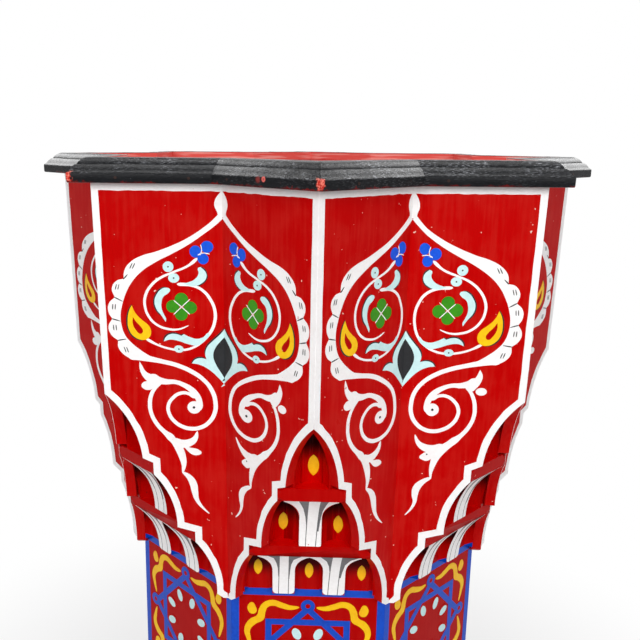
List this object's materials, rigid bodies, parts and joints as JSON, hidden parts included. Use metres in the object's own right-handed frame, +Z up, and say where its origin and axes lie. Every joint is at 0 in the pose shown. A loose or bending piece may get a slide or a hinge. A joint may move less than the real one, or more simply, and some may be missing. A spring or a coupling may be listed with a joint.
{
  "type": "moroccan kursi stool",
  "caption": "Painted wooden stand with a star-shaped sunk top, tapering over carved tiers of niches to an eight-sided shaft with arched feet.",
  "frame": {"origin": "middle of the footprint, on the floor", "axes": "+Z up along the shaft; -Y towards one ridge of the star, the one nearest the viewer in the picture"},
  "size_m": [0.4164, 0.4164, 0.53],
  "materials": {
    "painted_panel": "red gloss paint with white, blue, green and yellow ornament",
    "rim_moulding": "black gloss paint, brushed, worn red at the corners",
    "carved_niches": "red paint in the niches and white on the brackets",
    "painted_shaft": "red paint with blue borders and yellow scrolls",
    "tray_floor": "red gloss paint",
    "bare_wood": "sawn softwood, unpainted",
    "brads": "dark iron"
  },
  "bodies": {
    "root": {"body_panel_left_1": "painted_panel", "body_panel_left_2": "painted_panel", "body_panel_left_3": "painted_panel", "body_panel_left_4": "painted_panel", "body_panel_left_5": "painted_panel", "body_panel_left_6": "painted_panel", "body_panel_left_7": "painted_panel", "body_panel_left_8": "painted_panel", "body_panel_right_1": "painted_panel", "body_panel_right_2": "painted_panel", "body_panel_right_3": "painted_panel", "body_panel_right_4": "painted_panel", "body_panel_right_5": "painted_panel", "body_panel_right_6": "painted_panel", "body_panel_right_7": "painted_panel", "body_panel_right_8": "painted_panel", "lower_niches_1": "carved_niches", "lower_niches_2": "carved_niches", "lower_niches_3": "carved_niches", "lower_niches_4": "carved_niches", "lower_niches_5": "carved_niches", "lower_niches_6": "carved_niches", "lower_niches_7": "carved_niches", "lower_niches_8": "carved_niches", "middle_niches_1": "carved_niches", "middle_niches_2": "carved_niches", "middle_niches_3": "carved_niches", "middle_niches_4": "carved_niches", "middle_niches_5": "carved_niches", "middle_niches_6": "carved_niches", "middle_niches_7": "carved_niches", "middle_niches_8": "carved_niches", "ridge_blocks": "bare_wood", "rim_brads": "brads", "rim_moulding_1": "rim_moulding", "rim_moulding_2": "rim_moulding", "rim_moulding_3": "rim_moulding", "rim_moulding_4": "rim_moulding", "rim_moulding_5": "rim_moulding", "rim_moulding_6": "rim_moulding", "rim_moulding_7": "rim_moulding", "rim_moulding_8": "rim_moulding", "shaft_board_1": "painted_shaft", "shaft_board_2": "painted_shaft", "shaft_board_3": "painted_shaft", "shaft_board_4": "painted_shaft", "shaft_board_5": "painted_shaft", "shaft_board_6": "painted_shaft", "shaft_board_7": "painted_shaft", "shaft_board_8": "painted_shaft", "top_panel": "tray_floor", "upper_niche_1": "carved_niches", "upper_niche_2": "carved_niches", "upper_niche_3": "carved_niches", "upper_niche_4": "carved_niches", "upper_niche_5": "carved_niches", "upper_niche_6": "carved_niches", "upper_niche_7": "carved_niches", "upper_niche_8": "carved_niches"}
  },
  "joints": []
}
